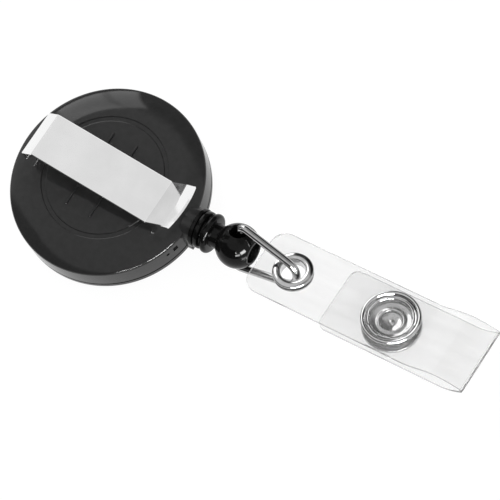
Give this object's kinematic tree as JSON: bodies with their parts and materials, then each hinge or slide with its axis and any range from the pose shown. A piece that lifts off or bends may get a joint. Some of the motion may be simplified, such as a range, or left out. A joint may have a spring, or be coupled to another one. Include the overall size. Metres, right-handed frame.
{
  "type": "retractable badge reel",
  "caption": "Round clip-on reel with a spring-retracted cord, ball end fitting, wire link and a folded clear snap strap for an ID badge.",
  "frame": {"origin": "centre of the flat front face of the round case, on the case axis", "axes": "+X along the cord towards the strap, +Z along the case axis from the front face towards the belt clip on the back, +Y completes the right-handed frame"},
  "size_m": [0.0834, 0.032, 0.0167],
  "materials": {
    "case_plastic": "satin gloss black moulding",
    "fitting_plastic": "glossy black moulding",
    "inner_plastic": "natural white moulding",
    "clip_steel": "bright nickel-plated spring steel",
    "wire_steel": "polished steel wire",
    "snap_metal": "nickel-plated pressed metal",
    "spring_steel": "blued spring strip",
    "cord_nylon": "black braided nylon",
    "clear_vinyl": "clear flexible vinyl"
  },
  "bodies": {
    "case": {"back_shell": "case_plastic", "front_shell": "case_plastic", "outlet_bush": "fitting_plastic", "clip_base": "clip_steel", "clip_rivet": "clip_steel", "rivet_washer": "snap_metal", "spiral_spring": "spring_steel", "cord_inner_lead": "cord_nylon"},
    "clip": {"clip_leaf": "clip_steel"},
    "spool": {"spool": "inner_plastic", "spring_cover": "spring_steel", "cord_winding": "cord_nylon", "cord_anchor": "cord_nylon"},
    "cord_end": {"cord_tail": "cord_nylon", "cord_knot": "cord_nylon"},
    "fitting": {"end_fitting": "fitting_plastic"},
    "link": {"wire_link": "wire_steel"},
    "strap": {"strap_leg": "clear_vinyl", "eyelet": "snap_metal", "eyelet_washer": "snap_metal", "snap_stud_ring": "snap_metal", "snap_stud": "snap_metal"},
    "flap": {"strap_flap": "clear_vinyl", "snap_socket": "snap_metal", "snap_socket_ring": "snap_metal", "snap_socket_spring": "spring_steel"}
  },
  "joints": [
    {"name": "cord_pull", "type": "slide", "parent": "case", "child": "cord_end", "axis": [1, 0, 0], "range_m": [0, 0.864], "stiffness_N_per_m": 0.5, "springref_m": -1.2},
    {"name": "spool_spin", "type": "hinge", "parent": "case", "child": "spool", "pos_m": [0, 0, 0.00325], "axis": [0, 0, -1], "range_deg": [0, 4300], "deforming": ["spiral_spring"]},
    {"name": "clip_flex", "type": "hinge", "parent": "case", "child": "clip", "pos_m": [-0.01258, 0.00075, 0.00931], "axis": [-0.0593, -0.9982, 0], "range_deg": [0, 10], "stiffness_Nm_per_rad": 1},
    {"name": "fitting_spin", "type": "hinge", "parent": "cord_end", "child": "fitting", "pos_m": [0.0241, 0, 0.0039], "axis": [1, 0, 0], "continuous": true},
    {"name": "link_swing", "type": "hinge", "parent": "fitting", "child": "link", "pos_m": [0.0241, 0, 0.0039], "axis": [0, 0.4226, 0.9063], "range_deg": [-90, 90]},
    {"name": "strap_swing", "type": "hinge", "parent": "link", "child": "strap", "pos_m": [0.03479, -0.00004, 0.00381], "axis": [0, -0.2079, -0.9781], "range_deg": [-95, 95]},
    {"name": "flap_open", "type": "hinge", "parent": "strap", "child": "flap", "pos_m": [0.0674, 0.00003, 0.00395], "axis": [0, -0.9781, 0.2079], "range_deg": [0, 150]}
  ],
  "couplings": [
    {"joint": "spool_spin", "follows": "cord_pull", "rad_per_m": 86.58}
  ]
}
